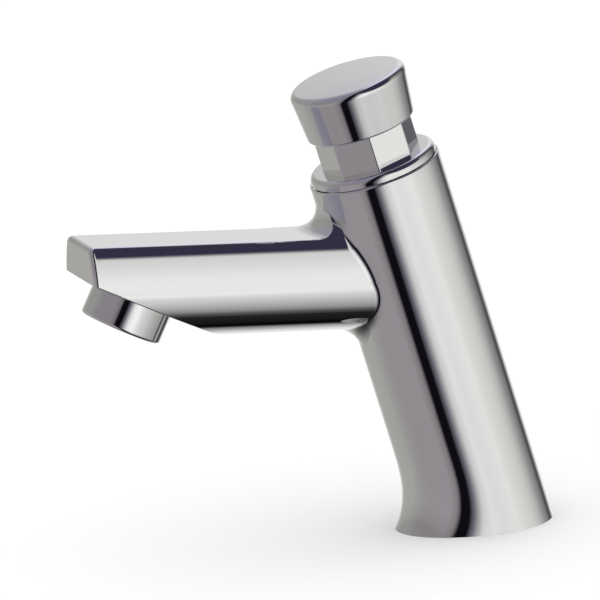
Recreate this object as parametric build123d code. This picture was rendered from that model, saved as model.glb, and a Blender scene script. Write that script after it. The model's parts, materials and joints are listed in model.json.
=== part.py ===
from build123d import *
import os
from math import acos, ceil, cos, pi, radians, sin, sqrt, tan

# Frame: the origin is the centre of the foot in the plane of its seat, +Z is up, the spout points to -Y.
# Heights of what stands on the column's axis are distances up that raked axis from the seat, and heights
# of the aerator's pieces are distances out of the spout's slanted underside. Lengths are in millimetres,
# angles in degrees.

# Fits and cuts that the pieces share
thread_gap = 0.05
sliding_gap = 0.05
closed_gap = 0.1
overrun = 2.0

# Column
rake = 13.9
axis_foot = 3.8
column_r = 21.1
column_top = 118.7
rim_round = 1.5
foot_height = 26.0
foot_flare = 7.5
foot_flare_power = 3
foot_section_shares = (0.0, 0.115, 0.23, 0.345, 0.46, 0.58, 0.7, 0.81, 0.905, 1.0)

# Spout
lift = 5.8
spout_tip = 124.5
spout_root_height = 95.1
spout_top_width = 22.4
spout_ridge_width = 29.4
spout_ridge_depth = 14.6
spout_flank_bulge = 0.9
spout_depth = 31.0
tip_face_height = 11.8
slant = 28.6
tip_round = 1.8
slant_round = 0.5
edge_round = 2.8
edge_round_end = 0.15
edge_fade = 11.0
edge_fade_gap = 2.0
top_fillet = 6.5
low_fillet = 11.5
low_fillet_end = 1.0
low_fillet_half_width = 12.0
low_fillet_sink = 0.02
low_fillet_sink_share = 0.004
low_fillet_shares = (-1.0, -0.875, -0.71, -0.5, -0.25, 0.0, 0.25, 0.5, 0.71, 0.875, 1.0)

# Bores of the body
bonnet_thread_r = 16.0
bonnet_thread_length = 11.9
chamber_r = 14.4
chamber_step = 66.0
chamber_floor_gap = 2.8
cup_water_way = 2.0
supply_r = 6.5
spout_passage_r = 4.0
passage_above_window_foot = 2.0
passage_overlap = 1.8
inlet_r = 9.3
inlet_depth = 17.0
filter_pocket_step = 0.7
filter_pocket_depth = 3.0
stud_hole_r = 3.4
stud_hole_depth = 14.0
stud_hole_forward = 15.7

# Seal under the foot
seal_inset = 2.0
seal_width = 2.6
seal_depth = 2.0

# Filter in the inlet
filter_ring_height = 2.6
filter_ring_wall = 1.6
filter_ring_ledge_share = 0.5
filter_screen_thickness = 0.4
filter_mesh_pitch = 1.7
filter_mesh_hole = 1.1

# Aerator
aerator_from_tip = 18.9
aerator_thread_r = 12.0
aerator_socket_depth = 7.5
aerator_chamber_r = 10.0
aerator_chamber_depth = 11.0
aerator_gasket_thickness = 1.0
aerator_gasket_bore = 8.5
aerator_shell_r = 13.2
aerator_shell_height = 9.8
aerator_shell_round = 1.0
aerator_bore_r = 10.6
aerator_lip_r = 9.7
aerator_lip_height = 0.9
aerator_core_wall = 1.2
aerator_core_ledge = 0.7
aerator_rib = 0.9
aerator_rib_height = 5.6
aerator_rib_ring_r = 5.2
flow_disc_thickness = 1.6
flow_jet_r = 0.8
flow_jet_circle_r = 6.4
flow_jets = 10
screen_thickness = 0.4
screen_pitch = 2.1
screen_hole = 1.5

# Bonnet
bonnet_flange_r = 19.3
bonnet_flange_side = 1.5
bonnet_flange_round = 1.6
bonnet_flange_height = 5.9
bonnet_flange_foot = 0.3
bonnet_flange_bulge = 0.45
octagon_r = 15.8
octagon_turn = -10.4
octagon_edge_round = 0.4
octagon_chamfer = 0.4
bonnet_bore_r = 12.0
bonnet_web_rise = 5.2
bonnet_web = 9.0
bonnet_gasket_thickness = 1.0
bush_r = 5.5
bush_flange_height = 1.4
circlip_groove = 0.7
circlip_thickness = 1.0
circlip_width = 2.0
circlip_slot = 3.0

# Button
travel = 7.5
cap_height = 16.1
cap_low_r = 17.35
cap_high_r = 18.95
cap_dome = 0.9
cap_dome_share = 0.5
cap_low_round = 0.9
cap_shoulder_round = 3.0
cap_top_wall = 3.0
cap_to_octagon = 0.45
cap_stop_gap = 0.6
hub_r = 7.8
hub_gap = 0.7
hub_length = 14.1
hub_flange_thickness = 1.4
hub_thread_depth = 11.0
hub_well_gap = 1.5
locknut_flats = 8.0
locknut_height = 4.0

# Stem and its guide
stem_r = 3.0
stem_thread_r = 2.5
stem_tail = 0.5
stem_stop_gap = 0.5
guide_r = 8.6
guide_flange_r = 13.4
guide_flange_height = 1.5
guide_shoulder_r = 4.6
guide_shoulder_thickness = 2.0
stem_ring_wire = 1.8
stem_ring_first = 2.6
stem_ring_second = 7.4
guide_ring_wire = 1.6
guide_ring_rise = 5.0

# Cartridge sleeve and valve seat
sleeve_flange_height = 10.0
sleeve_collar_height = 10.8
sleeve_ring_wire = 2.4
sleeve_ring_rise = 4.6
collar_ring_rise = 3.5
cage_water_way = 1.8
cage_wall = 2.0
window_from_flange = 6.0
window_from_collar = 3.0
window_width = 9.0
windows = 4
seat_r = 8.0
seat_height = 5.0
nozzle_r = 6.2
nozzle_drop = 2.5
nozzle_bore_r = 4.8
nozzle_lip_chamfer = 0.6

# Timing cup and the jet that meters the water into it
cup_bore_r = 9.0
cup_wall = 1.4
cup_floor_thickness = 2.0
cup_grip = 3.0
port_from_step = 0.5
port_height = 4.5
port_width = 5.0
ports = 6
jet_head_r = 3.5
jet_head_height = 1.2
jet_shank_r = 2.5
jet_hole_r = 0.4
jet_slot_width = 0.8
jet_slot_depth = 0.6

# Pieces at the lower end of the stem
washer_r = 7.3
washer_thickness = 3.0
carrier_wall = 0.7
carrier_floor = 1.5
carrier_rim = 1.4
carrier_boss_height = 3.9
piston_gap = 0.5
piston_height = 6.0
piston_boss_r = 4.6
piston_boss_height = 1.5
lip_seal_height = 3.0
lip_seal_root_r = 6.6
lip_seal_lip = 0.9
piston_nut_flats = 8.0
piston_nut_height = 4.0

# Return spring
spring_wire = 1.0
spring_side_gap = 0.8
spring_end_gap = 0.45
spring_end_half_turns = 2
spring_active_half_turns = 6

# Heights along the column's axis and radii about it, worked out from the sizes above
ledge = column_top - bonnet_thread_length
sleeve_flange_top = chamber_step + sleeve_flange_height
collar_low = ledge - sleeve_collar_height
window_low = sleeve_flange_top + window_from_flange
window_high = collar_low - window_from_collar
cage_r = chamber_r - cage_water_way
cage_bore_r = cage_r - cage_wall
seat_low = sleeve_flange_top - seat_height
nozzle_lip = seat_low - nozzle_drop

washer_top = nozzle_lip - closed_gap
washer_low = washer_top - washer_thickness
carrier_low = washer_low - carrier_floor - carrier_boss_height
piston_low = carrier_low - piston_height
piston_boss_low = piston_low - piston_boss_height
piston_nut_low = piston_boss_low - piston_nut_height
stem_low = piston_nut_low - stem_tail
piston_r = cup_bore_r - piston_gap
carrier_boss_r = lip_seal_root_r + sliding_gap + lip_seal_lip
spring_mean_r = piston_boss_r + spring_side_gap + spring_wire / 2

cup_floor = stem_low - travel - stem_stop_gap
cup_low = cup_floor - cup_floor_thickness
chamber_floor = cup_low - jet_head_height - chamber_floor_gap
cup_top = chamber_step + cup_grip
cup_r = cup_bore_r + cup_wall
lower_chamber_r = cup_r + cup_water_way
port_high = chamber_step - port_from_step
port_low = port_high - port_height

bonnet_low = ledge + bonnet_gasket_thickness
web_low = bonnet_low + bonnet_web_rise
hub_well_floor = web_low + bonnet_web
locknut_low = hub_well_floor + hub_well_gap + travel
hub_low = locknut_low + locknut_height
stem_top = hub_low + hub_thread_depth
cap_roof = hub_low + hub_length
cap_shoulder = cap_roof + cap_top_wall
cap_low = cap_shoulder - cap_height
hub_flange_low = cap_roof - hub_flange_thickness
octagon_top = hub_flange_low - travel - cap_stop_gap
cap_bore_r = octagon_r + cap_to_octagon
octagon_flat_r = octagon_r * cos(pi / 8)
hub_well_r = hub_r + hub_gap
bush_flange_low = web_low - bush_flange_height
circlip_low = bush_flange_low - circlip_thickness

filter_pocket_r = inlet_r - filter_pocket_step
filter_pocket_top = inlet_depth + filter_pocket_depth

# Heights along the aerator's axis
housing_thread_low = aerator_gasket_thickness - aerator_socket_depth
housing_lip = aerator_shell_height - aerator_lip_height
core_out = housing_lip - screen_thickness

# Planes and directions
rake_sin = sin(radians(rake))
rake_cos = cos(radians(rake))
lift_sin = sin(radians(lift))
lift_cos = cos(radians(lift))
slant_sin = sin(radians(slant))
slant_cos = cos(radians(slant))
RAKED = Plane(origin=(0, axis_foot, 0), x_dir=(1, 0, 0), z_dir=(0, -rake_sin, rake_cos))

tip_top = spout_root_height + spout_tip * tan(radians(lift))
slant_start = tip_top - tip_face_height
AERATOR = Plane(
    origin=(0, aerator_from_tip * slant_cos - spout_tip, slant_start - aerator_from_tip * slant_sin),
    x_dir=(1, 0, 0),
    z_dir=(0, -slant_sin, -slant_cos),
)

axis_meets_top = (spout_root_height - axis_foot * tan(radians(lift))) / (
    1 - tan(radians(lift)) * tan(radians(rake))
)
axis_forward_at_top = axis_meets_top * tan(radians(rake)) - axis_foot
SPOUT = Plane(
    origin=(0, -axis_forward_at_top, axis_meets_top),
    x_dir=(1, 0, 0),
    z_dir=(0, -lift_cos, lift_sin),
)
spout_length = (spout_tip - axis_forward_at_top) / lift_cos
spout_low_rise = spout_depth - spout_ridge_depth
spout_low_r = (spout_ridge_width**2 / 4 + spout_low_rise**2) / (2 * spout_low_rise)


def rounded(face, corner, radius):
    """A half section in the XZ plane with the corner at this (radius, height) rounded."""
    place = Vector(corner[0], 0, corner[1])
    vertex = min(face.vertices(), key=lambda vertex: (Vector(*vertex) - place).length)
    return fillet(vertex, radius)


def turned(outline, rounds=()):
    """A solid turned about +Z from (radius, height) corners; rounds lists (corner number, radius)."""
    face = make_face(Plane.XZ * Polyline(*outline, close=True))
    for number, radius in rounds:
        face = rounded(face, outline[number], radius)
    return revolve(face, Axis.Z)


def rod(radius, low, high):
    """A cylinder about +Z between two heights."""
    return Pos(0, 0, low) * Cylinder(radius, high - low, align=(Align.CENTER, Align.CENTER, Align.MIN))


def tube(outer, inner, low, high):
    """A ring or tube about +Z between two heights."""
    return turned([(inner, low), (outer, low), (outer, high), (inner, high)])


def o_ring(inner, wire, height):
    """An O-ring about +Z, by its inner radius, its thickness and the height of its middle."""
    place = Plane.XZ * Pos(inner + wire / 2, height)
    return revolve(place * Circle(wire / 2), Axis.Z)


def hexagon_prism(flats, low, high):
    """A hexagonal prism about +Z, by its width across the flats."""
    return extrude(Pos(0, 0, low) * RegularPolygon(flats / 2, 6, major_radius=False), high - low)


def net(radius, thickness, low, pitch, hole):
    """A round net about +Z with square holes, which stop short of its rim."""
    reach = ceil(radius / pitch)
    rim = radius - (pitch - hole)
    holes = Sketch()
    for column in range(-reach, reach + 1):
        for row in range(-reach, reach + 1):
            far_corner = sqrt((abs(column) * pitch + hole / 2) ** 2 + (abs(row) * pitch + hole / 2) ** 2)
            if far_corner < rim:
                holes += Pos(column * pitch, row * pitch) * Rectangle(hole, hole)
    return extrude(Pos(0, 0, low) * (Circle(radius) - holes), thickness)


def foot_section(height, inset=0.0):
    """The egg-shaped outline of the foot at a height, drawn in by an inset."""
    back = column_r / rake_cos
    front = back + foot_flare * (1 - height / foot_height) ** foot_flare_power
    centre = Pos(0, axis_foot - height * tan(radians(rake)), height)
    half_ring = EllipticalCenterArc((0, 0), column_r - inset, back - inset, start_angle=0, arc_size=180)
    half_egg = EllipticalCenterArc((0, 0), column_r - inset, front - inset, start_angle=180, arc_size=180)
    return centre * make_face(half_ring + half_egg)


def column():
    """The raked column with its rounded rim, on the foot that flares forward."""
    shaft = RAKED * turned(
        [(0, 0), (column_r, 0), (column_r, column_top), (0, column_top)], [(2, rim_round)]
    )
    below = Pos(0, 0, foot_height) * Box(
        column_top, column_top, column_top, align=(Align.CENTER, Align.CENTER, Align.MAX)
    )
    foot = loft([foot_section(share * foot_height) for share in foot_section_shares])
    return (shaft - below) + foot


def flank_arc():
    """The bowed side of the spout's section, from its upper corner down to the ridge."""
    start = Vector(spout_top_width / 2, 0)
    end = Vector(spout_ridge_width / 2, -spout_ridge_depth)
    outward = Vector(spout_ridge_depth, (spout_ridge_width - spout_top_width) / 2).normalized()
    return ThreePointArc(start, (start + end) / 2 + outward * spout_flank_bulge, end)


def spout_edge_cut(radius, reach):
    """What rounds a long upper edge of the spout takes away, as a section this far along it."""
    half_top = spout_top_width / 2
    flank = flank_arc() % 0
    inward = Vector(-1, 0)
    corner = Vector(half_top, 0)
    half_angle = acos(flank.dot(inward)) / 2
    bisector = (flank + inward).normalized()
    centre = corner + bisector * (radius / sin(half_angle))
    start = corner + inward * (radius / tan(half_angle))
    end = corner + flank * (radius / tan(half_angle))
    middle = centre - bisector * radius
    outside = corner - bisector * (radius + overrun)
    outline = ThreePointArc(start, middle, end) + Line(end, outside) + Line(outside, start)
    return SPOUT.offset(reach) * make_face(outline)


def spout():
    """The spout from inside the column to its tip, cut back below along a slant."""
    half_top = spout_top_width / 2
    half_ridge = spout_ridge_width / 2
    flank = flank_arc()
    top = Line((-half_top, 0), (half_top, 0))
    belly = ThreePointArc(
        (half_ridge, -spout_ridge_depth), (0, -spout_depth), (-half_ridge, -spout_ridge_depth)
    )
    section = make_face(top + flank + belly + mirror(flank, about=Plane.YZ))
    bar = extrude(SPOUT * section, spout_length + overrun)

    rounded_from = top_fillet_reach() + edge_fade_gap
    cut = loft(
        [
            spout_edge_cut(edge_round_end, rounded_from),
            spout_edge_cut(edge_round, rounded_from + edge_fade),
            spout_edge_cut(edge_round, spout_length + 2 * overrun),
        ],
        ruled=True,
    )
    bar -= cut
    bar -= mirror(cut, about=Plane.YZ)

    past_tip = Pos(0, -spout_tip, tip_top) * Box(
        spout_length, spout_length, spout_length, align=(Align.CENTER, Align.MAX, Align.CENTER)
    )
    under_slant = AERATOR * Box(
        spout_length, spout_length, spout_length, align=(Align.CENTER, Align.CENTER, Align.MIN)
    )
    return bar - past_tip - under_slant


def column_meets_spout():
    """Where the column's front line meets the spout's top line, and half the angle between them there."""
    forward_edge = RAKED.origin + Vector(0, -rake_cos, -rake_sin) * column_r
    up_column = RAKED.z_dir
    from_edge = SPOUT.origin - forward_edge
    turn = SPOUT.z_dir.Y * up_column.Z - SPOUT.z_dir.Z * up_column.Y
    along_spout = (up_column.Y * from_edge.Z - up_column.Z * from_edge.Y) / turn
    corner = SPOUT.origin + SPOUT.z_dir * along_spout
    return corner, along_spout, acos(up_column.dot(SPOUT.z_dir)) / 2


def top_fillet_reach():
    """How far along the spout its upper fillet ends."""
    corner, along_spout, half_angle = column_meets_spout()
    return along_spout + top_fillet / tan(half_angle)


def low_fillet_section(across):
    """The section, this far across, of the fillet between the column and the spout's belly."""
    fade = max(0, 1 - (across / low_fillet_half_width) ** 2) ** 1.5
    radius = low_fillet_end + (low_fillet - low_fillet_end) * fade
    tangent = radius - low_fillet_sink - low_fillet_sink_share * radius
    belly_depth = spout_depth - spout_low_r + sqrt(spout_low_r**2 - across**2)
    belly = SPOUT.origin - SPOUT.y_dir * belly_depth
    front = RAKED.origin + Vector(0, -rake_cos, -rake_sin) * sqrt(column_r**2 - across**2)
    along_spout = SPOUT.z_dir
    down_column = -RAKED.z_dir
    between = front - belly
    turn = along_spout.Y * down_column.Z - along_spout.Z * down_column.Y
    reach = (between.Y * down_column.Z - between.Z * down_column.Y) / turn
    corner = belly + along_spout * reach
    half_angle = acos(along_spout.dot(down_column)) / 2
    bisector = (along_spout + down_column).normalized()
    centre = corner + bisector * (tangent / sin(half_angle))
    on_spout = corner + along_spout * (tangent / tan(half_angle))
    on_column = corner + down_column * (tangent / tan(half_angle))
    start = centre + (on_spout - centre).normalized() * radius
    end = centre + (on_column - centre).normalized() * radius
    middle = centre - bisector * radius
    inside = corner - bisector * overrun
    places = [(place.Y, place.Z) for place in (start, middle, end, inside)]
    arc = ThreePointArc(places[0], places[1], places[2])
    outline = arc + Line(places[2], places[3]) + Line(places[3], places[0])
    return Plane.YZ.offset(across) * make_face(outline)


def body_outside():
    """The casting before its bores: the column, the spout and the fillets between them."""
    casting = column() + spout()
    corner, along_spout, half_angle = column_meets_spout()
    casting = fillet(casting.edges().sort_by_distance(corner)[0], top_fillet)
    casting += loft([low_fillet_section(share * low_fillet_half_width) for share in low_fillet_shares])

    tip_face = casting.faces().sort_by_distance((0, -spout_tip, (tip_top + slant_start) / 2))[0]
    tip_edges = tip_face.edges().sort_by(Axis.Z)[1:]
    casting = fillet(tip_edges, tip_round)
    slant_face = casting.faces().sort_by_distance(AERATOR.origin)[0]
    return fillet(slant_face.edges(), slant_round)


def tap_body():
    """The casting with its chamber, waterways, inlet, stud hole and seal groove."""
    casting = body_outside()
    casting -= RAKED * rod(bonnet_thread_r, ledge, column_top + overrun)
    casting -= RAKED * rod(chamber_r, chamber_step, column_top)
    casting -= RAKED * rod(lower_chamber_r, chamber_floor, chamber_step + overrun)

    casting -= rod(inlet_r, -overrun, inlet_depth)
    casting -= rod(filter_pocket_r, 0, filter_pocket_top)
    casting -= RAKED * rod(supply_r, filter_pocket_top - overrun, chamber_floor + overrun)

    passage_low = RAKED.origin + RAKED.z_dir * (window_low + passage_above_window_foot)
    passage_high = AERATOR.origin - AERATOR.z_dir * (aerator_chamber_depth - passage_overlap)
    passage = Plane(origin=passage_low, z_dir=passage_high - passage_low)
    casting -= passage * rod(spout_passage_r, 0, (passage_high - passage_low).length)
    casting -= AERATOR * rod(aerator_thread_r, -aerator_socket_depth, overrun)
    casting -= AERATOR * rod(aerator_chamber_r, -aerator_chamber_depth, 0)

    casting -= Pos(0, -stud_hole_forward, 0) * rod(stud_hole_r, -overrun, stud_hole_depth)
    groove = foot_section(0, seal_inset) - foot_section(0, seal_inset + seal_width)
    casting -= extrude(groove, seal_depth)
    return casting


def base_seal():
    """The flat egg-shaped seal in the groove under the foot, flush with the seat."""
    outside = foot_section(0, seal_inset + closed_gap)
    ring = outside - foot_section(0, seal_inset + seal_width - closed_gap)
    return extrude(ring, seal_depth)


def inlet_filter_ring():
    """The ring that holds the filter's mesh in the pocket above the inlet's thread."""
    outer = filter_pocket_r - sliding_gap
    top = filter_pocket_top
    low = top - filter_ring_height
    seat = top - filter_screen_thickness
    inner = outer - filter_ring_wall
    rebate = outer - filter_ring_wall * filter_ring_ledge_share
    return turned([(inner, low), (outer, low), (outer, top), (rebate, top), (rebate, seat), (inner, seat)])


def inlet_filter_screen():
    """The filter's mesh disc, in the rebate on top of its ring."""
    low = filter_pocket_top - filter_screen_thickness
    radius = filter_pocket_r - filter_ring_wall * filter_ring_ledge_share - 2 * sliding_gap
    return net(radius, filter_screen_thickness, low, filter_mesh_pitch, filter_mesh_hole)


def cartridge_sleeve():
    """The sleeve: the flange that parts supply from outlet, the cage's windows and the guide's seating."""
    fit_r = chamber_r - sliding_gap
    guide_flange_low = ledge - guide_flange_height
    shoulder_low = collar_low - guide_shoulder_thickness
    sleeve = turned(
        [
            (cup_r + thread_gap, chamber_step),
            (fit_r, chamber_step),
            (fit_r, sleeve_flange_top),
            (cage_r, sleeve_flange_top),
            (cage_r, collar_low),
            (fit_r, collar_low),
            (fit_r, ledge),
            (guide_flange_r, ledge),
            (guide_flange_r, guide_flange_low),
            (guide_r, guide_flange_low),
            (guide_r, collar_low),
            (guide_shoulder_r, collar_low),
            (guide_shoulder_r, shoulder_low),
            (cage_bore_r, shoulder_low),
            (cage_bore_r, sleeve_flange_top),
            (seat_r + sliding_gap, sleeve_flange_top),
            (seat_r + sliding_gap, seat_low),
            (nozzle_r + closed_gap, seat_low),
            (nozzle_r + closed_gap, cup_top),
            (cup_r + thread_gap, cup_top),
        ]
    )
    for along in (chamber_step + sleeve_ring_rise, collar_low + collar_ring_rise):
        low = along - sleeve_ring_wire / 2
        sleeve -= tube(fit_r + overrun, fit_r - sleeve_ring_wire, low, low + sleeve_ring_wire)
    window_height = window_high - window_low
    window = Pos(0, 0, window_low) * Box(
        cage_r + overrun, window_width, window_height, align=(Align.MIN, Align.CENTER, Align.MIN)
    )
    for copy in range(windows):
        sleeve -= Rot(0, 0, copy * 360 / windows + 180 / windows) * window
    return RAKED * sleeve


def sleeve_ring(along):
    """An O-ring in one of the sleeve's grooves."""
    inner = chamber_r - sliding_gap - sleeve_ring_wire
    return RAKED * o_ring(inner, sleeve_ring_wire, along)


def timing_cup():
    """The cup that the piston works in, with the inlet ports above the piston's stroke."""
    floor_hole = jet_shank_r + sliding_gap
    cup = turned(
        [
            (floor_hole, cup_low),
            (cup_r, cup_low),
            (cup_r, cup_top),
            (cup_bore_r, cup_top),
            (cup_bore_r, cup_floor),
            (floor_hole, cup_floor),
        ]
    )
    port = Pos(0, 0, (port_low + port_high) / 2) * Box(
        cup_r + overrun, port_width, port_high - port_low, align=(Align.MIN, Align.CENTER, Align.CENTER)
    )
    for copy in range(ports):
        cup -= Rot(0, 0, copy * 360 / ports) * port
    return RAKED * cup


def timing_jet():
    """The calibrated jet in the cup's floor, which times the piston's return."""
    head_low = cup_low - jet_head_height
    jet = turned(
        [
            (jet_hole_r, head_low),
            (jet_head_r, head_low),
            (jet_head_r, cup_low),
            (jet_shank_r, cup_low),
            (jet_shank_r, cup_floor),
            (jet_hole_r, cup_floor),
        ]
    )
    slot = Pos(0, 0, head_low) * Box(
        2 * jet_head_r, jet_slot_width, jet_slot_depth, align=(Align.CENTER, Align.CENTER, Align.MIN)
    )
    return RAKED * (jet - slot)


def valve_seat():
    """The seat ring, whose nozzle reaches down to the washer."""
    return RAKED * turned(
        [
            (nozzle_bore_r, nozzle_lip),
            (nozzle_r - nozzle_lip_chamfer, nozzle_lip),
            (nozzle_r, nozzle_lip + nozzle_lip_chamfer),
            (nozzle_r, seat_low),
            (seat_r, seat_low),
            (seat_r, sleeve_flange_top),
            (nozzle_bore_r, sleeve_flange_top),
        ]
    )


def valve_washer():
    """The rubber washer that shuts against the seat's nozzle."""
    return RAKED * tube(washer_r, stem_thread_r + sliding_gap, washer_low, washer_top)


def washer_carrier():
    """The cup-shaped carrier under the washer, whose boss keeps the lip seal in the piston's rebate."""
    floor = washer_low - carrier_floor
    rim = washer_low + carrier_rim
    inner = stem_thread_r + sliding_gap
    cup_inside = washer_r + sliding_gap
    return RAKED * turned(
        [
            (inner, carrier_low),
            (carrier_boss_r, carrier_low),
            (carrier_boss_r, floor),
            (cup_inside + carrier_wall, floor),
            (cup_inside + carrier_wall, rim),
            (cup_inside, rim),
            (cup_inside, washer_low),
            (inner, washer_low),
        ]
    )


def timing_piston():
    """The piston, with the lip seal's rebate at its top and the spring's seat under it."""
    inner = stem_thread_r + sliding_gap
    rebate = carrier_low - lip_seal_height
    return RAKED * turned(
        [
            (inner, piston_boss_low),
            (piston_boss_r, piston_boss_low),
            (piston_boss_r, piston_low),
            (piston_r, piston_low),
            (piston_r, rebate),
            (lip_seal_root_r, rebate),
            (lip_seal_root_r, carrier_low),
            (inner, carrier_low),
        ]
    )


def piston_lip_seal():
    """The cup-lipped seal round the piston, which lets water pass one way."""
    root = lip_seal_root_r + sliding_gap
    low = carrier_low - lip_seal_height
    lip_r = cup_bore_r - sliding_gap
    lip_inner = lip_r - lip_seal_lip
    return RAKED * turned(
        [
            (root, low),
            (piston_r, low),
            (lip_r, carrier_low),
            (lip_inner, carrier_low),
            (root + lip_seal_lip, low + lip_seal_lip),
            (root + lip_seal_lip, carrier_low),
            (root, carrier_low),
        ]
    )


def piston_nut():
    """The nut that holds the piston, the carrier and the washer on the stem."""
    nut = hexagon_prism(piston_nut_flats, piston_nut_low, piston_boss_low)
    hole = rod(stem_thread_r + thread_gap, piston_nut_low - overrun, piston_boss_low + overrun)
    return RAKED * (nut - hole)


def valve_stem():
    """The rod from the piston up to the button's hub."""
    return RAKED * turned(
        [
            (0, stem_low),
            (stem_thread_r, stem_low),
            (stem_thread_r, washer_top),
            (stem_r, washer_top),
            (stem_r, stem_top),
            (0, stem_top),
        ]
    )


def stem_guide():
    """The guide that carries the stem in the sleeve's collar, with grooves for three seals."""
    inner = stem_r + sliding_gap
    guide = turned(
        [
            (inner, collar_low),
            (guide_r - sliding_gap, collar_low),
            (guide_r - sliding_gap, ledge - guide_flange_height),
            (guide_flange_r - sliding_gap, ledge - guide_flange_height),
            (guide_flange_r - sliding_gap, ledge),
            (inner, ledge),
        ]
    )
    for rise in (stem_ring_first, stem_ring_second):
        low = collar_low + rise - stem_ring_wire / 2
        guide -= tube(inner + stem_ring_wire, 0, low, low + stem_ring_wire)
    low = collar_low + guide_ring_rise - guide_ring_wire / 2
    guide -= tube(guide_r + overrun, guide_r - guide_ring_wire, low, low + guide_ring_wire)
    return RAKED * guide


def stem_ring(rise):
    """One of the two seals between the stem and its guide."""
    return RAKED * o_ring(stem_r + sliding_gap, stem_ring_wire, collar_low + rise)


def guide_ring():
    """The seal between the guide and the sleeve."""
    return RAKED * o_ring(guide_r - guide_ring_wire, guide_ring_wire, collar_low + guide_ring_rise)


def return_spring():
    """The helical spring between the cup's floor and the piston, two arcs to each half turn."""
    low = cup_floor + spring_wire / 2 + sliding_gap
    high = piston_low - spring_wire / 2 - sliding_gap
    end_rise = (spring_wire + spring_end_gap) / 2
    rise = (high - low - 2 * spring_end_half_turns * end_rise) / spring_active_half_turns
    rises = [end_rise] * spring_end_half_turns + [rise] * spring_active_half_turns
    rises += [end_rise] * spring_end_half_turns
    print("spring: least gap between its turns", round(2 * end_rise - spring_wire, 3))

    half_turn = pi * spring_mean_r
    places = []
    headings = []
    height = low
    for number in range(len(rises) + 1):
        angle = pi * number
        before = rises[max(number - 1, 0)]
        after = rises[min(number, len(rises) - 1)]
        slope = (before + after) / 2 / half_turn
        places.append(Vector(spring_mean_r * cos(angle), spring_mean_r * sin(angle), height))
        headings.append(Vector(-sin(angle), cos(angle), slope).normalized())
        height += after

    path = []
    for number in range(len(rises)):
        start, end = places[number], places[number + 1]
        heading, next_heading = headings[number], headings[number + 1]
        across = end - start
        both = heading + next_heading
        a = 2 * (1 - heading.dot(next_heading))
        b = 2 * across.dot(both)
        c = -across.dot(across)
        arm = (-b + sqrt(b * b - 4 * a * c)) / (2 * a)
        joint = (start + end + (heading - next_heading) * arm) / 2
        first = Edge.make_tangent_arc(start, heading, joint)
        path.append(first)
        path.append(Edge.make_tangent_arc(joint, first % 1, end))
    wire = Wire(path)
    section = Plane(origin=wire @ 0, z_dir=wire % 0) * Circle(spring_wire / 2)
    return RAKED * sweep(section, wire)


def bonnet():
    """The octagonal bonnet: its thread, its domed flange, the hub's well and the stem bush's seat."""
    thread_r = bonnet_thread_r - thread_gap
    shoulder = column_top + bonnet_flange_side + bonnet_flange_round
    flange_top = column_top + bonnet_flange_height
    foot_r = bonnet_flange_r - bonnet_flange_foot
    walls = Polyline(
        (octagon_flat_r, flange_top),
        (0, flange_top),
        (0, bonnet_low),
        (thread_r, bonnet_low),
        (thread_r, column_top),
        (foot_r, column_top),
        (bonnet_flange_r, column_top + bonnet_flange_foot),
        (bonnet_flange_r, shoulder),
    )
    middle_r = (bonnet_flange_r + octagon_flat_r) / 2 + bonnet_flange_bulge
    middle_height = (shoulder + flange_top) / 2 + bonnet_flange_bulge
    crown_end = (octagon_flat_r, flange_top)
    crown = ThreePointArc((bonnet_flange_r, shoulder), (middle_r, middle_height), crown_end)
    face = rounded(make_face(Plane.XZ * (walls + crown)), (bonnet_flange_r, shoulder), bonnet_flange_round)
    shell = revolve(face, Axis.Z)

    outline = Pos(0, 0, column_top) * Rot(0, 0, octagon_turn) * RegularPolygon(octagon_r, 8)
    outline = fillet(outline.vertices(), octagon_edge_round)
    head = extrude(outline, octagon_top - column_top)
    head = chamfer(head.faces().sort_by(Axis.Z)[-1].edges(), octagon_chamfer)
    shell += head
    shell -= rod(bonnet_bore_r, bonnet_low - overrun, web_low)
    shell -= rod(bonnet_bore_r + circlip_groove, circlip_low, bush_flange_low)
    shell -= rod(hub_well_r, hub_well_floor, octagon_top + overrun)
    shell -= rod(bush_r, web_low - overrun, hub_well_floor + overrun)
    return RAKED * shell


def bonnet_gasket():
    """The flat ring that the bonnet's end clamps on the body's ledge, the sleeve and the guide's flange."""
    outer = bonnet_thread_r - thread_gap
    return RAKED * tube(outer, bonnet_bore_r, ledge, bonnet_low)


def stem_bush():
    """The upper bush of the stem, pushed up into the bonnet's web."""
    inner = stem_r + sliding_gap
    flange_r = bonnet_bore_r - sliding_gap
    return RAKED * turned(
        [
            (inner, bush_flange_low),
            (flange_r, bush_flange_low),
            (flange_r, web_low),
            (bush_r - sliding_gap, web_low),
            (bush_r - sliding_gap, hub_well_floor),
            (inner, hub_well_floor),
        ]
    )


def bush_circlip():
    """The open ring, in a groove of the bonnet's bore, that holds the bush's flange up against the web."""
    outer = bonnet_bore_r + circlip_groove - sliding_gap
    ring = tube(outer, outer - circlip_width, circlip_low, bush_flange_low)
    slot = Pos(0, 0, circlip_low) * Box(
        outer + overrun, circlip_slot, circlip_thickness, align=(Align.MIN, Align.CENTER, Align.MIN)
    )
    return RAKED * (ring - slot)


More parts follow.
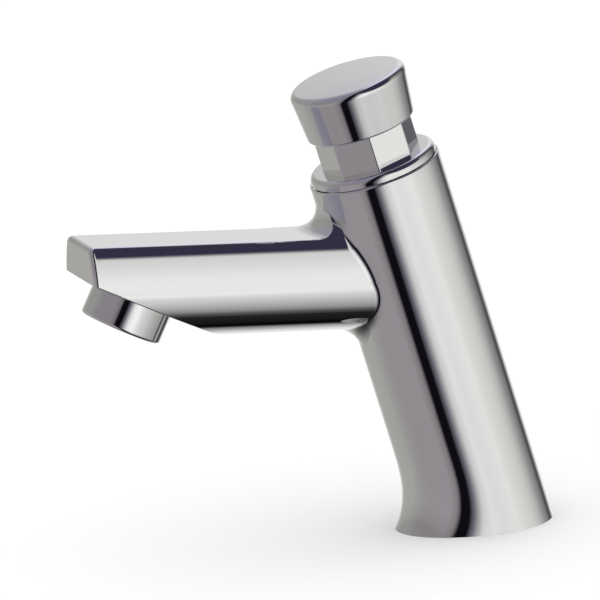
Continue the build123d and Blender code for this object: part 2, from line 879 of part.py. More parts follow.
def push_button():
    """The hollow cap: it flares towards its nearly flat, slightly domed top."""
    dome_r = (cap_high_r**2 + cap_dome**2) / (2 * cap_dome)
    middle_r = cap_dome_share * cap_high_r
    middle_drop = dome_r - sqrt(dome_r**2 - middle_r**2)
    top = cap_shoulder + cap_dome
    walls = Polyline(
        (cap_high_r, cap_shoulder),
        (cap_low_r, cap_low),
        (cap_bore_r, cap_low),
        (cap_bore_r, cap_roof),
        (0, cap_roof),
        (0, top),
    )
    dome = ThreePointArc((0, top), (middle_r, top - middle_drop), (cap_high_r, cap_shoulder))
    face = make_face(Plane.XZ * (walls + dome))
    face = rounded(face, (cap_high_r, cap_shoulder), cap_shoulder_round)
    face = rounded(face, (cap_low_r, cap_low), cap_low_round)
    return RAKED * revolve(face, Axis.Z)


def button_hub():
    """The threaded hub that is pressed into the cap and runs down into the bonnet."""
    inner = stem_r + thread_gap
    flange_r = cap_bore_r - sliding_gap
    return RAKED * turned(
        [
            (inner, hub_low),
            (hub_r, hub_low),
            (hub_r, hub_flange_low),
            (flange_r, hub_flange_low),
            (flange_r, cap_roof),
            (0, cap_roof),
            (0, stem_top),
            (inner, stem_top),
        ]
    )


def button_locknut():
    """The nut that locks the hub on the stem."""
    nut = hexagon_prism(locknut_flats, locknut_low, hub_low)
    return RAKED * (nut - rod(stem_r + thread_gap, locknut_low - overrun, hub_low + overrun))


def aerator_housing():
    """The ring that shows under the spout's tip, with its thread up in the socket."""
    thread_r = aerator_thread_r - thread_gap
    return AERATOR * turned(
        [
            (aerator_bore_r, housing_thread_low),
            (thread_r, housing_thread_low),
            (thread_r, 0),
            (aerator_shell_r, 0),
            (aerator_shell_r, aerator_shell_height),
            (aerator_lip_r, aerator_shell_height),
            (aerator_lip_r, housing_lip),
            (aerator_bore_r, housing_lip),
        ],
        [(4, aerator_shell_round)],
    )


def aerator_gasket():
    """The flat washer between the socket's end and the housing, which also keeps the core in."""
    outer = aerator_thread_r - sliding_gap
    return AERATOR * tube(outer, aerator_gasket_bore, -aerator_socket_depth, housing_thread_low)


def aerator_core():
    """The core in the housing: a wall with the flow disc's ledge, and a grid that straightens the flow."""
    outer = aerator_bore_r - sliding_gap
    disc_r = outer - aerator_core_wall
    inner = disc_r - aerator_core_ledge
    disc_seat = housing_thread_low + flow_disc_thickness
    core = turned(
        [
            (disc_r, housing_thread_low),
            (outer, housing_thread_low),
            (outer, core_out),
            (inner, core_out),
            (inner, disc_seat),
            (disc_r, disc_seat),
        ]
    )
    ribs_low = core_out - aerator_rib_height
    for turn in (0, 90):
        rib = Pos(0, 0, ribs_low) * Box(
            inner + disc_r, aerator_rib, aerator_rib_height, align=(Align.CENTER, Align.CENTER, Align.MIN)
        )
        core += Rot(0, 0, turn) * rib
    core += tube(aerator_rib_ring_r + aerator_rib, aerator_rib_ring_r, ribs_low, core_out)
    return AERATOR * core


def flow_disc():
    """The disc with a ring of jets that lies on the core's ledge."""
    high = housing_thread_low + flow_disc_thickness
    disc = rod(aerator_bore_r - aerator_core_wall - 2 * sliding_gap, housing_thread_low, high)
    for copy in range(flow_jets):
        jet = Pos(flow_jet_circle_r, 0, 0) * rod(flow_jet_r, housing_thread_low - overrun, high + overrun)
        disc -= Rot(0, 0, copy * 360 / flow_jets) * jet
    return AERATOR * disc


def aerator_screen():
    """The mesh disc at the outlet, held between the core and the housing's lip."""
    radius = aerator_bore_r - sliding_gap
    return AERATOR * net(radius, screen_thickness, core_out, screen_pitch, screen_hole)


os.makedirs("parts", exist_ok=True)
pieces = {
    "tap_body": tap_body(),
    "base_seal": base_seal(),
    "inlet_filter_ring": inlet_filter_ring(),
    "inlet_filter_screen": inlet_filter_screen(),
    "cartridge_sleeve": cartridge_sleeve(),
    "sleeve_oring_lower": sleeve_ring(chamber_step + sleeve_ring_rise),
    "sleeve_oring_upper": sleeve_ring(collar_low + collar_ring_rise),
    "timing_cup": timing_cup(),
    "timing_jet": timing_jet(),
    "valve_seat": valve_seat(),
    "valve_washer": valve_washer(),
    "washer_carrier": washer_carrier(),
    "timing_piston": timing_piston(),
    "piston_lip_seal": piston_lip_seal(),
    "piston_nut": piston_nut(),
    "valve_stem": valve_stem(),
    "stem_guide": stem_guide(),
    "stem_oring_lower": stem_ring(stem_ring_first),
    "stem_oring_upper": stem_ring(stem_ring_second),
    "guide_oring": guide_ring(),
    "return_spring": return_spring(),
    "bonnet": bonnet(),
    "bonnet_gasket": bonnet_gasket(),
    "stem_bush": stem_bush(),
    "bush_circlip": bush_circlip(),
    "push_button": push_button(),
    "button_hub": button_hub(),
    "button_locknut": button_locknut(),
    "aerator_housing": aerator_housing(),
    "aerator_gasket": aerator_gasket(),
    "aerator_core": aerator_core(),
    "flow_disc": flow_disc(),
    "aerator_screen": aerator_screen(),
}
for name, piece in pieces.items():
    export_step(piece, f"parts/{name}.step")
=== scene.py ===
# %% [markdown]
# A push timed tap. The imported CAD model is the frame: its nodes stay where they are, in metres, with the
# origin at the centre of the foot, +Z up and the spout along -Y. This script gives every piece its finish,
# dresses the polished pieces that show, and sets up the studio that the chrome reflects.

# %% The frame
import json
from math import atan2, cos, degrees, pi, radians, sin, sqrt, tan

import bmesh
import bpy
from mathutils import Matrix, Vector


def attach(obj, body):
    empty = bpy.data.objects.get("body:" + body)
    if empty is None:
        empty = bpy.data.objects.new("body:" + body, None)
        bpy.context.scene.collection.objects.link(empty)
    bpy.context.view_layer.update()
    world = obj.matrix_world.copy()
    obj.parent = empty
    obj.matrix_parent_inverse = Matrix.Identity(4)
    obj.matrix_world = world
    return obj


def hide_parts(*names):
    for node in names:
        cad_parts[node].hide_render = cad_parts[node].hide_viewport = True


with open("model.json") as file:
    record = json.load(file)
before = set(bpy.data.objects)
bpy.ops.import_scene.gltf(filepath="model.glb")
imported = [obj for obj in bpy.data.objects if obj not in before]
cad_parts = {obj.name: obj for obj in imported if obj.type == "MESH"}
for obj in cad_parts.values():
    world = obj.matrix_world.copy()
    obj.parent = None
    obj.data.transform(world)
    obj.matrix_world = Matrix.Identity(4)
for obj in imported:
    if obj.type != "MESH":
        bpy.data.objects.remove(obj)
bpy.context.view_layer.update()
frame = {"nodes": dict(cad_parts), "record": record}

MM = 0.001
NODES = frame["nodes"]
print("nodes in the frame:", len(NODES))

# %% [markdown]
# The camera stands where the photographer's did. It was fitted to the outline of the column, the cap, the
# foot and the spout: a long lens far away, looking down a little, with the picture turned slightly. A point
# on the tap and three angles say all of that more plainly than a matrix would. An azimuth is counted from
# the spout's side, -Y, towards +X.

# %% The camera
LOOK_AT = Vector((0.0, -52.82, 79.05)) * MM
CAMERA_DISTANCE = 4.0
CAMERA_AZIMUTH = radians(71.43)
CAMERA_ELEVATION = radians(13.12)
CAMERA_ROLL = radians(-3.82)
CAMERA_LENS = 765.73
SENSOR_WIDTH = 36.0


def linked_object(name, data):
    """An object of this mesh, camera or light, linked to the scene."""
    made = bpy.data.objects.new(name, data)
    bpy.context.scene.collection.objects.link(made)
    return made


def direction_of(azimuth, elevation):
    """The direction in the frame that has this azimuth and elevation."""
    return Vector((sin(azimuth) * cos(elevation), -cos(azimuth) * cos(elevation), sin(elevation)))


def camera_matrix(target, azimuth, elevation, roll, distance):
    """The place and turn of a camera that looks at a target from an azimuth and an elevation."""
    back = direction_of(azimuth, elevation)
    level = Vector((0, 0, 1)).cross(back).normalized()
    upright = back.cross(level)
    right = level * cos(roll) + upright * sin(roll)
    up = upright * cos(roll) - level * sin(roll)
    turn = Matrix((right, up, back)).transposed().to_4x4()
    return Matrix.Translation(target + back * distance) @ turn


camera_data = bpy.data.cameras.new("camera")
camera_data.sensor_width = SENSOR_WIDTH
camera_data.lens = CAMERA_LENS
camera = linked_object("camera", camera_data)
camera.matrix_world = camera_matrix(
    LOOK_AT, CAMERA_AZIMUTH, CAMERA_ELEVATION, CAMERA_ROLL, CAMERA_DISTANCE
)
bpy.context.scene.camera = camera
bpy.context.scene.view_settings.view_transform = "Standard"
print("camera at", [round(v, 3) for v in camera.location])

# %% [markdown]
# Small helpers come next. A node tree is easier to read when one line adds a node, sets its values and
# joins its inputs, so `node` does that. A colour ramp is filled from (place, colour) pairs, and `mixed` and
# `math` take a socket or a plain value for each input.


# %% Node helpers
def node(tree, kind, values=None, links=None, **settings):
    """Adds a node to a tree, sets its properties and input values, and joins sockets to its inputs."""
    made = tree.nodes.new(kind)
    for key, value in settings.items():
        setattr(made, key, value)
    for key, value in (values or {}).items():
        made.inputs[key].default_value = value
    for key, socket in (links or {}).items():
        tree.links.new(socket, made.inputs[key])
    return made


def fill(tree, made, rows):
    """Gives the inputs of a node their values: each row is an input, and a socket or a plain value."""
    for key, value in rows:
        if isinstance(value, bpy.types.NodeSocket):
            tree.links.new(value, made.inputs[key])
        else:
            made.inputs[key].default_value = value


def math(tree, operation, *values):
    """A math node of up to three inputs."""
    made = node(tree, "ShaderNodeMath", operation=operation)
    fill(tree, made, enumerate(values))
    return made.outputs["Value"]


def mixed(tree, blend_type, factor, first, second):
    """A colour mix of two colours."""
    made = node(tree, "ShaderNodeMix", data_type="RGBA", blend_type=blend_type)
    fill(tree, made, (("Factor", factor), ("A", first), ("B", second)))
    return made.outputs["Result"]


def ramp(tree, factor, stops):
    """A colour ramp with a stop for each (place, colour) pair; a single number is a grey."""
    made = node(tree, "ShaderNodeValToRGB", links={"Fac": factor})
    elements = made.color_ramp.elements
    while len(elements) < len(stops):
        elements.new(1.0)
    for element, (place, colour) in zip(elements, stops):
        element.position = place
        grey = isinstance(colour, float)
        element.color = (colour, colour, colour, 1) if grey else (*colour, 1)
    return made.outputs["Color"]


# %% [markdown]
# Chrome has no colour of its own, so what makes it look right is what stands round it. The studio is painted
# on the world by direction. `AROUND` goes round the horizon, in degrees of azimuth: a big white panel on the
# camera's right, a narrow black card that draws the crisp dark line down the column, grey-violet walls on
# the left. Two tables of levels go from the floor to the ceiling, in degrees of elevation: one for the
# camera's side and one for the far side, and `CAMERA_SIDE` says which of the two holds at an azimuth, 1 for
# the camera's and 0 for the far one. A round navy cloth hangs above the panel.

# %% The studio's colours
AROUND = (
    (-180, (0.450, 0.450, 0.440)),
    (-171, (0.315, 0.315, 0.310)),
    (-159, (0.210, 0.210, 0.208)),
    (-149, (0.080, 0.080, 0.086)),
    (-142.5, (0.088, 0.080, 0.094)),
    (-136, (0.460, 0.460, 0.470)),
    (-126, (0.880, 0.880, 0.890)),
    (-112, (0.980, 0.980, 0.980)),
    (-103, (0.760, 0.760, 0.755)),
    (-91, (0.560, 0.557, 0.540)),
    (-80, (0.398, 0.394, 0.372)),
    (-40, (0.380, 0.372, 0.356)),
    (-16, (0.318, 0.304, 0.308)),
    (0, (0.305, 0.286, 0.302)),
    (38, (0.305, 0.284, 0.301)),
    (50, (0.225, 0.210, 0.222)),
    (56, (0.005, 0.004, 0.006)),
    (68, (0.005, 0.004, 0.007)),
    (75, (0.180, 0.178, 0.215)),
    (86, (0.800, 0.810, 0.800)),
    (97, (0.950, 0.955, 0.940)),
    (110, (0.845, 0.850, 0.830)),
    (132, (0.800, 0.803, 0.778)),
    (143, (0.710, 0.712, 0.690)),
    (155, (0.665, 0.667, 0.642)),
    (166, (0.600, 0.600, 0.578)),
    (180, (0.450, 0.450, 0.440)),
)
CAMERA_SIDE = ((-150, 1.0), (-132, 0.0), (66, 0.0), (80, 1.0))
CAMERA_SIDE_LEVELS = (
    (-90, 0.03),
    (-80, 0.012),
    (-63, 0.02),
    (-55, 0.12),
    (-48, 0.32),
    (-33, 0.56),
    (-18, 0.77),
    (-8, 1.0),
    (2, 0.98),
    (14, 0.86),
    (30, 0.72),
    (50, 0.30),
    (90, 0.05),
)
FAR_SIDE_LEVELS = (
    (-90, (0.03, 0.03, 0.03)),
    (-78, (0.12, 0.12, 0.12)),
    (-66, (0.30, 0.30, 0.30)),
    (-47, (0.76, 0.76, 0.76)),
    (-31, (0.97, 0.97, 0.97)),
    (-12, (1.0, 1.0, 1.0)),
    (2, (0.90, 0.90, 0.90)),
    (10, (0.76, 0.76, 0.76)),
    (22, (0.80, 0.80, 0.81)),
    (42, (0.74, 0.75, 0.91)),
    (90, (0.70, 0.72, 0.88)),
)
CLOTH_MIDDLE = direction_of(radians(125), radians(56))
CLOTH_EDGE = (0.83, 0.87)
CLOTH_COLOUR = (0.034, 0.030, 0.058, 1.0)
WHITE = (1.0, 1.0, 1.0, 1.0)
EVEN_LIGHT = 1.0
print("studio:", len(AROUND), "stops round the horizon,", len(FAR_SIDE_LEVELS), "up the far side")

# %% [markdown]
# The world turns a direction into an azimuth and an elevation, reads the tables there, and hangs the cloth
# where the direction is close enough to the cloth's middle. Only reflections see this studio. The camera
# and plain diffuse surfaces see white instead, so that the background stays white and the light even.


# %% The studio round the tap
def by_degrees(span, stops):
    """The stops of a ramp, from degrees that are counted from the middle of a span."""
    return [(angle / span + 0.5, colour) for angle, colour in stops]


world = bpy.data.worlds.new("studio")
bpy.context.scene.world = world
world.use_nodes = True
tree = world.node_tree
tree.nodes.clear()
direction = node(tree, "ShaderNodeTexCoord").outputs["Generated"]
parts = node(tree, "ShaderNodeSeparateXYZ", links={"Vector": direction}).outputs
azimuth = math(tree, "ARCTAN2", parts["X"], math(tree, "MULTIPLY", parts["Y"], -1.0))
around = math(tree, "MULTIPLY_ADD", azimuth, 1 / (2 * pi), 0.5)
height = math(tree, "MULTIPLY_ADD", math(tree, "ARCSINE", parts["Z"]), 1 / pi, 0.5)
walls = ramp(tree, around, by_degrees(360, AROUND))
near_side = ramp(tree, around, by_degrees(360, CAMERA_SIDE))
near_levels = ramp(tree, height, by_degrees(180, CAMERA_SIDE_LEVELS))
far_levels = ramp(tree, height, by_degrees(180, FAR_SIDE_LEVELS))
levels = mixed(tree, "MIX", near_side, far_levels, near_levels)
studio = mixed(tree, "MULTIPLY", 1.0, walls, levels)
towards = node(tree, "ShaderNodeVectorMath", {1: CLOTH_MIDDLE}, {0: direction}, operation="DOT_PRODUCT")
cloth = node(
    tree, "ShaderNodeMapRange", {"From Min": CLOTH_EDGE[0], "From Max": CLOTH_EDGE[1]},
    {"Value": towards.outputs["Value"]}, interpolation_type="SMOOTHSTEP",
)
hung = mixed(tree, "MIX", cloth.outputs["Result"], studio, CLOTH_COLOUR)

rays = node(tree, "ShaderNodeLightPath").outputs
reflected = node(tree, "ShaderNodeBackground", links={"Color": hung})
plain = node(tree, "ShaderNodeBackground", {"Color": WHITE, "Strength": EVEN_LIGHT})
backdrop = node(tree, "ShaderNodeBackground", {"Color": WHITE, "Strength": 1.0})
lit = node(
    tree, "ShaderNodeMixShader",
    links={0: rays["Is Glossy Ray"], 1: plain.outputs[0], 2: reflected.outputs[0]},
)
seen = node(
    tree, "ShaderNodeMixShader",
    links={0: rays["Is Camera Ray"], 1: lit.outputs[0], 2: backdrop.outputs[0]},
)
node(tree, "ShaderNodeOutputWorld", links={"Surface": seen.outputs[0]})
print("studio nodes:", len(tree.nodes))

# %% [markdown]
# The floor is a wide pale sheet. Seen from below it lets the camera through, so that the foot's underside
# can be looked at, and reflections leave it out because the lower half of the studio stands for it. One
# soft sun from above gives the tap its faint shadow.

# %% The floor and the soft sun
FLOOR_SIZE = 30.0
FLOOR_DROP = 0.02 * MM
FLOOR_COLOUR = (0.965, 0.965, 0.965, 1.0)
SUN_STRENGTH = 0.35
SUN_ANGLE = radians(70)
SUN_TURN = (radians(20), radians(15), 0)

floor_mesh = bmesh.new()
bmesh.ops.create_grid(floor_mesh, x_segments=2, y_segments=2, size=FLOOR_SIZE / 2)
bmesh.ops.translate(floor_mesh, verts=floor_mesh.verts, vec=(0, 0, -FLOOR_DROP))
floor_data = bpy.data.meshes.new("floor")
floor_mesh.to_mesh(floor_data)
floor_mesh.free()
floor = linked_object("floor", floor_data)
floor.visible_glossy = False

floor_material = bpy.data.materials.new("floor_sheet")
floor_material.use_nodes = True
tree = floor_material.node_tree
tree.nodes.clear()
pale = node(tree, "ShaderNodeBsdfDiffuse", {"Color": FLOOR_COLOUR})
clear = node(tree, "ShaderNodeBsdfTransparent")
below = node(tree, "ShaderNodeNewGeometry").outputs["Backfacing"]
sheet = node(tree, "ShaderNodeMixShader", links={0: below, 1: pale.outputs[0], 2: clear.outputs[0]})
node(tree, "ShaderNodeOutputMaterial", links={"Surface": sheet.outputs[0]})
floor_data.materials.append(floor_material)

sun_data = bpy.data.lights.new("soft_sun", "SUN")
sun_data.energy = SUN_STRENGTH
sun_data.angle = SUN_ANGLE
sun = linked_object("soft_sun", sun_data)
sun.rotation_euler = SUN_TURN
sun.visible_glossy = False
print("floor", FLOOR_SIZE, "m across")

# %% [markdown]
# All the finishes share two effects, so each is a node group. `fine_marks` gives the soft unevenness that
# handling and wiping leave: broad clouds with some fine grain in them. `drawn_lines` gives the fine parallel
# lines of turned or drawn metal. Each puts out a roughness between two given ones, and a height for a bump
# and for the slight change of colour. Both read Object coordinates, which are the frame's metres, so their
# scale is the real one.

# %% Shared effects
GRAIN_FINENESS, GRAIN_SHARE = 14.0, 0.35
MARKS_REACH = (0.3, 0.7)
LINES_STRETCH = (0.03, 0.03, 1.0)
LINES_REACH = (0.35, 0.65)


def effect_group(name, inputs):
    """A shader node group with these float inputs, and a roughness and a height as its outputs."""
    group = bpy.data.node_groups.new(name, "ShaderNodeTree")
    for label, value in inputs:
        socket = group.interface.new_socket(label, in_out="INPUT", socket_type="NodeSocketFloat")
        socket.default_value = value
    for label in ("Roughness", "Height"):
        group.interface.new_socket(label, in_out="OUTPUT", socket_type="NodeSocketFloat")
    return group, group.nodes.new("NodeGroupInput").outputs, group.nodes.new("NodeGroupOutput").inputs


def put_out_detail(group, given, put_out, detail, reach):
    """Ends an effect: the detail is its height and, spread from the Low to the High, its roughness."""
    spread = node(
        group, "ShaderNodeMapRange", {"From Min": reach[0], "From Max": reach[1]},
        {"Value": detail, "To Min": given["Low"], "To Max": given["High"]},
    )
    group.links.new(spread.outputs["Result"], put_out["Roughness"])
    group.links.new(detail, put_out["Height"])


marks, given, put_out = effect_group("fine_marks", (("Scale", 60.0), ("Low", 0.03), ("High", 0.06)))
place = node(marks, "ShaderNodeTexCoord").outputs["Object"]
clouds = node(
    marks, "ShaderNodeTexNoise", {"Detail": 4.0, "Roughness": 0.55},
    {"Vector": place, "Scale": given["Scale"]},
)
fine_scale = math(marks, "MULTIPLY", given["Scale"], GRAIN_FINENESS)
grain = node(marks, "ShaderNodeTexNoise", {"Detail": 3.0}, {"Vector": place, "Scale": fine_scale})
cloud_part = math(marks, "MULTIPLY", clouds.outputs["Fac"], 1 - GRAIN_SHARE)
blend = math(marks, "MULTIPLY_ADD", grain.outputs["Fac"], GRAIN_SHARE, cloud_part)
put_out_detail(marks, given, put_out, blend, MARKS_REACH)

lines, given, put_out = effect_group("drawn_lines", (("Scale", 2500.0), ("Low", 0.2), ("High", 0.4)))
place = node(lines, "ShaderNodeTexCoord").outputs["Object"]
stretched = node(lines, "ShaderNodeMapping", {"Scale": LINES_STRETCH}, {"Vector": place})
streaks = node(
    lines, "ShaderNodeTexNoise", {"Detail": 2.0}, {"Vector": stretched.outputs[0], "Scale": given["Scale"]}
)
put_out_detail(lines, given, put_out, streaks.outputs["Fac"], LINES_REACH)
print("shared effects:", marks.name, lines.name)

# %% [markdown]
# Now the finishes. Chrome plate is a plain metal with hardly any roughness: a little cloudiness keeps it
# from looking like a computed mirror. The working parts inside are moulded acetal, rubber, turned brass and
# stainless steel, each with its own roughness, grain and slight change of colour over the surface.

# %% Finishes
COLOUR_REACH = (0.3, 0.7)
FINISH_ROWS = (
    # slot, name, light and dark colour,
    # metallic, effect and its scale, low and high roughness, bump and its depth
    ("chrome", "chrome_plate", (0.945, 0.945, 0.95), (0.935, 0.935, 0.94),
     1.0, marks, 45.0, 0.012, 0.03, 0.02, 0.002 * MM),
    ("plastic_white", "acetal", (0.83, 0.83, 0.80), (0.78, 0.78, 0.75),
     0.0, marks, 180.0, 0.36, 0.5, 0.25, 0.05 * MM),
    ("plastic_black", "black_plastic", (0.045, 0.045, 0.05), (0.03, 0.03, 0.034),
     0.0, marks, 240.0, 0.4, 0.55, 0.3, 0.05 * MM),
    ("rubber", "rubber", (0.035, 0.035, 0.036), (0.022, 0.022, 0.023),
     0.0, marks, 320.0, 0.55, 0.72, 0.35, 0.05 * MM),
    ("brass", "turned_brass", (0.80, 0.62, 0.32), (0.70, 0.52, 0.26),
     1.0, lines, 2600.0, 0.18, 0.34, 0.25, 0.01 * MM),
    ("steel", "stainless_steel", (0.66, 0.66, 0.67), (0.56, 0.56, 0.57),
     1.0, lines, 3200.0, 0.2, 0.36, 0.25, 0.01 * MM),
)


def finish_material(name, light, dark, metallic, effect, scale, low, high, bump, depth):
    """A Principled material whose colour, roughness and bump vary with one of the shared effects."""
    material = bpy.data.materials.new(name)
    material.use_nodes = True
    tree = material.node_tree
    principled = tree.nodes["Principled BSDF"]
    detail = node(tree, "ShaderNodeGroup", {"Scale": scale, "Low": low, "High": high}, node_tree=effect)
    colour = ramp(tree, detail.outputs["Height"], list(zip(COLOUR_REACH, (dark, light))))
    bumped = node(
        tree, "ShaderNodeBump", {"Strength": bump, "Distance": depth}, {"Height": detail.outputs["Height"]}
    )
    tree.links.new(colour, principled.inputs["Base Color"])
    tree.links.new(detail.outputs["Roughness"], principled.inputs["Roughness"])
    tree.links.new(bumped.outputs["Normal"], principled.inputs["Normal"])
    principled.inputs["Metallic"].default_value = metallic
    return material


FINISHES = {slot: finish_material(*row) for slot, *row in FINISH_ROWS}
SLOT_OF = {row["node"]: row["material_slot"] for row in frame["record"]["subparts"]}
for name, piece in NODES.items():
    piece.data.materials.clear()
    piece.data.materials.append(FINISHES[SLOT_OF[name]])
print("finishes:", ", ".join(sorted(FINISHES)))

# %% [markdown]
# The next cells follow the casting's own surfaces, so they start from its sizes. The column is a plain
# cylinder on a raked axis. The foot is egg-shaped: half a circle's shadow behind, a longer half ellipse in
# front that grows towards the seat. The spout is one section with bowed sides, drawn along a line that
# rises a little. Its section's origin is where the top line crosses the column's axis.

# %% The casting's sizes
RAKE = radians(13.9)
AXIS_FOOT = Vector((0, 3.8, 0)) * MM
AXIS = Vector((0, -sin(RAKE), cos(RAKE)))
COLUMN_R = 21.1 * MM
FOOT_HEIGHT = 26.0 * MM
FOOT_FLARE = 7.5 * MM

LIFT = radians(5.8)
SPOUT_ALONG = Vector((0, -cos(LIFT), sin(LIFT)))
SPOUT_UP = Vector((0, sin(LIFT), cos(LIFT)))
SPOUT_TOP_AT_Y0 = Vector((0, 0, 95.1)) * MM
TOP_HALF = 11.2 * MM
RIDGE_HALF = 14.7 * MM
RIDGE_DEPTH = 14.6 * MM
FLANK_BULGE = 0.9 * MM
SPOUT_DEPTH = 31.0 * MM
TOP_FILLET_R = 6.5 * MM
SPOUT_TIP, TIP_ROUND = 124.5 * MM, 1.8 * MM
AERATOR_SLANT = radians(28.6)
AERATOR_AXIS = Vector((0, -sin(AERATOR_SLANT), -cos(AERATOR_SLANT)))
crossing = (SPOUT_TOP_AT_Y0.z - AXIS_FOOT.y * tan(LIFT)) / (1 - tan(LIFT) * tan(RAKE))
SPOUT_ORIGIN = Vector((0, AXIS_FOOT.y - crossing * tan(RAKE), crossing))


def circle_through(start, end, bulge):
    """The centre and radius of an arc between two section points that bows out by the bulge."""
    chord = end - start
    outward = Vector((-chord.y, chord.x)).normalized()
    radius = (chord.length_squared / 4 + bulge**2) / (2 * bulge)
    return (start + end) / 2 + outward * (bulge - radius), radius


FLANK_TOP, FLANK_RIDGE = Vector((TOP_HALF, 0)), Vector((RIDGE_HALF, -RIDGE_DEPTH))
FLANK_MIDDLE, FLANK_R = circle_through(FLANK_TOP, FLANK_RIDGE, FLANK_BULGE)
print("column", COLUMN_R / MM, "mm in radius, raked", round(degrees(RAKE), 1), "degrees")

# %% [markdown]
# A mirror shows every facet. So each polished piece is dressed with a copy whose triangles are joined: faces
# that meet at a shallow angle are shaded as one curved surface, and real edges stay crisp. Large faces lead
# the normals first. Then the formulas take over. On the column, the foot, the spout's sides and the rounding
# of its end the normal is the exact one, wherever it lies near enough to the led one. On turned surfaces the
# normal loses whatever leans out of the plane through the axis.

# %% Exact normals on the casting
ON_SURFACE, ON_SPOUT = 0.05 * MM, 0.01 * MM
AGREE, AGREE_AT_TIP = 0.93, 0.75
UNDERSIDE = -0.5
FACES_THE_END = 0.05
RIM_FOOT, RIM_ROUND = 121.25 * MM, 0.55 * MM


def foot_normal(place):
    """The exact normal of the egg-shaped foot at a place that lies on it, or None."""
    fade = 1 - place.z / FOOT_HEIGHT
    across = place.y - (AXIS_FOOT.y - place.z * tan(RAKE))
    reach, growth = COLUMN_R / cos(RAKE), 0.0
    if across < 0:
        reach += FOOT_FLARE * fade**3
        growth = -3 * FOOT_FLARE * fade**2 / FOOT_HEIGHT
    level = (place.x / COLUMN_R) ** 2 + (across / reach) ** 2
    if abs(level - 1) > 2 * ON_SURFACE / COLUMN_R:
        return None
    rise = across * tan(RAKE) / reach**2 - across**2 * growth / reach**3
    return Vector((place.x / COLUMN_R**2, across / reach**2, rise)).normalized()


def flank_normal(place):
    """The exact normal of the spout's bowed side at a place that lies on it, or None."""
    section = Vector((abs(place.x), (place - SPOUT_ORIGIN).dot(SPOUT_UP)))
    spoke = section - FLANK_MIDDLE
    if abs(spoke.length - FLANK_R) > ON_SPOUT or not -RIDGE_DEPTH < section.y - ON_SURFACE < 0:
        return None
    spoke.normalize()
    return Vector((spoke.x if place.x > 0 else -spoke.x, 0, 0)) + SPOUT_UP * spoke.y


def tip_normal(place, normal):
    """The exact normal of the rounding at the spout's end, made from the place's depth behind the end."""
    forward = min(1 - (place.y + SPOUT_TIP) / TIP_ROUND, 1.0)
    sideways = Vector((normal.x, 0, normal.z))
    if forward < -sin(LIFT) or normal.z < UNDERSIDE or sideways.length < FACES_THE_END:
        return None
    return sideways.normalized() * sqrt(1 - forward**2) - Vector((0, forward, 0))


def casting_normal(place, normal):
    """The exact normal of the casting at a place where a formula is known, or the given one."""
    along = (place - AXIS_FOOT).dot(AXIS)
    spoke = place - AXIS_FOOT - AXIS * along
    exact = None
    if place.z < FOOT_HEIGHT:
        exact = foot_normal(place)
    elif spoke.y < 0 and spoke.length > COLUMN_R + 2 * ON_SURFACE:
        exact = flank_normal(place) or tip_normal(place, normal)
    elif abs(spoke.length - COLUMN_R) < ON_SURFACE and along < RIM_FOOT + ON_SURFACE:
        exact = spoke.normalized()
    limit = AGREE_AT_TIP if place.y < 2 * TIP_ROUND - SPOUT_TIP else AGREE
    return exact if exact and exact.dot(normal) > limit else normal


print("the spout's side is an arc of", round(FLANK_R / MM, 1), "mm in radius")

# %% [markdown]
# `dress` makes the copy's object. In the photograph the column's rim lies higher than in the solid, up
# against the bonnet's flange, so the casting's copy is made with its rim raised.

# %% Dressing a node
JOIN_DISTANCE = 0.002 * MM
CRISP_ANGLE = radians(33)
LEAN_LIMIT = 0.06
CHANGED = 1e-5
RIM_CAD_FOOT, RIM_CAD_ROUND = 117.2 * MM, 1.5 * MM


def turned_normal(axis_place, axis):
    """A function that takes out of a normal what leans out of the plane through the axis."""
    def straight(place, normal):
        round_the_axis = axis.cross(place - axis_place)
        if round_the_axis.length < ON_SURFACE:
            return normal
        round_the_axis.normalize()
        lean = normal.dot(round_the_axis)
        return (normal - round_the_axis * lean).normalized() if abs(lean) < LEAN_LIMIT else normal
    return straight


def chrome_object(name, mesh):
    """A chrome object made of a mesh that is then freed."""
    data = bpy.data.meshes.new(name)
    mesh.to_mesh(data)
    mesh.free()
    data.materials.append(FINISHES["chrome"])
    return linked_object(name, data)


def dress(name, body, mesh, exact_normal):
    """Makes a chrome piece of a mesh, which rides on its body and stands for the node of that name."""
    for face in mesh.faces:
        face.smooth = True
    for edge in mesh.edges:
        edge.smooth = len(edge.link_faces) == 2 and edge.calc_face_angle(0) < CRISP_ANGLE
    piece = chrome_object(name + "_chrome", mesh)
    data = piece.data

    weighted = piece.modifiers.new("large_faces_lead", "WEIGHTED_NORMAL")
    weighted.keep_sharp = True
    led = piece.evaluated_get(bpy.context.evaluated_depsgraph_get()).data
    led_normals = [corner.vector.copy() for corner in led.corner_normals]
    places = [data.vertices[loop.vertex_index].co for loop in data.loops]
    normals = [exact_normal(place, normal) for place, normal in zip(places, led_normals)]
    moved = sum(1 for new, old in zip(normals, led_normals) if (new - old).length > CHANGED)
    piece.modifiers.remove(weighted)
    data.normals_split_custom_set(normals)

    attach(piece, body)
    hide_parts(name)
    print(piece.name, "faces", len(data.polygons), "exact corners", moved, "of", len(normals))


def joined_copy(name):
    """The node's triangles, joined where they touch."""
    mesh = bmesh.new()
    mesh.from_mesh(NODES[name].data)
    bmesh.ops.remove_doubles(mesh, verts=mesh.verts, dist=JOIN_DISTANCE)
    bmesh.ops.dissolve_degenerate(mesh, edges=mesh.edges, dist=JOIN_DISTANCE)
    return mesh


